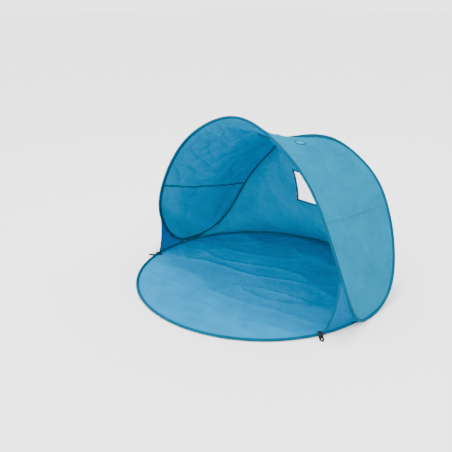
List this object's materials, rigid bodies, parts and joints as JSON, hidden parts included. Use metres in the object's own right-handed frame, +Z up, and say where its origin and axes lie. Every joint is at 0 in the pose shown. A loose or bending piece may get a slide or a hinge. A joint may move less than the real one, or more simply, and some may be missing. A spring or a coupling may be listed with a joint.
{
  "type": "pop up tent",
  "caption": "Blue beach shelter on spring hoops: round groundsheet, saddle-shaped canopy that reaches the ground beside it, windowed back wall and front gussets.",
  "frame": {"origin": "on the ground, below the middle of the floor hoop", "axes": "+X to the right seen from in front, +Y from the open front to the back wall, +Z up"},
  "size_m": [1.6012, 1.4456, 1.0078],
  "materials": {
    "groundsheet_fabric": "smooth coated polyester, turquoise blue",
    "canopy_fabric": "thin woven polyester, sky blue, lets some light through",
    "sleeve_fabric": "doubled polyester, darker blue, stitched",
    "webbing": "black woven polypropylene",
    "spring_steel": "tempered spring steel",
    "window_film": "clear soft film"
  },
  "bodies": {
    "floor": {"groundsheet": "groundsheet_fabric", "floor_hoop_wire": "spring_steel", "floor_hoop_ferrule": "spring_steel", "floor_hoop_sleeve": "sleeve_fabric", "back_wall": "canopy_fabric", "window_film": "window_film", "window_binding": "sleeve_fabric", "right_gusset": "canopy_fabric", "right_gusset_hem": "sleeve_fabric", "left_gusset": "canopy_fabric", "left_gusset_hem": "sleeve_fabric", "right_hinge_tab": "sleeve_fabric", "left_hinge_tab": "sleeve_fabric", "front_right_peg_loop": "webbing", "front_left_peg_loop": "webbing", "rear_right_peg_loop": "webbing", "rear_left_peg_loop": "webbing"},
    "canopy": {"canopy_hoop_wire": "spring_steel", "canopy_hoop_ferrule": "spring_steel", "canopy_hoop_sleeve": "sleeve_fabric", "roof_panel": "canopy_fabric", "right_ear_panel": "canopy_fabric", "left_ear_panel": "canopy_fabric", "right_seam_tape": "canopy_fabric", "left_seam_tape": "canopy_fabric", "roof_patch": "sleeve_fabric"}
  },
  "joints": [
    {"name": "canopy_fold", "type": "hinge", "parent": "floor", "child": "canopy", "pos_m": [0, -0.10725, 0.008], "axis": [-1, 0, 0], "range_deg": [0, 82], "stiffness_Nm_per_rad": 4, "springref_deg": -68.75, "deforming": ["back_wall", "window_film", "window_binding", "right_gusset", "right_gusset_hem", "left_gusset", "left_gusset_hem", "right_hinge_tab", "left_hinge_tab", "canopy_hoop_wire", "canopy_hoop_ferrule", "canopy_hoop_sleeve", "roof_panel", "right_ear_panel", "left_ear_panel", "right_seam_tape", "left_seam_tape", "roof_patch"]}
  ]
}
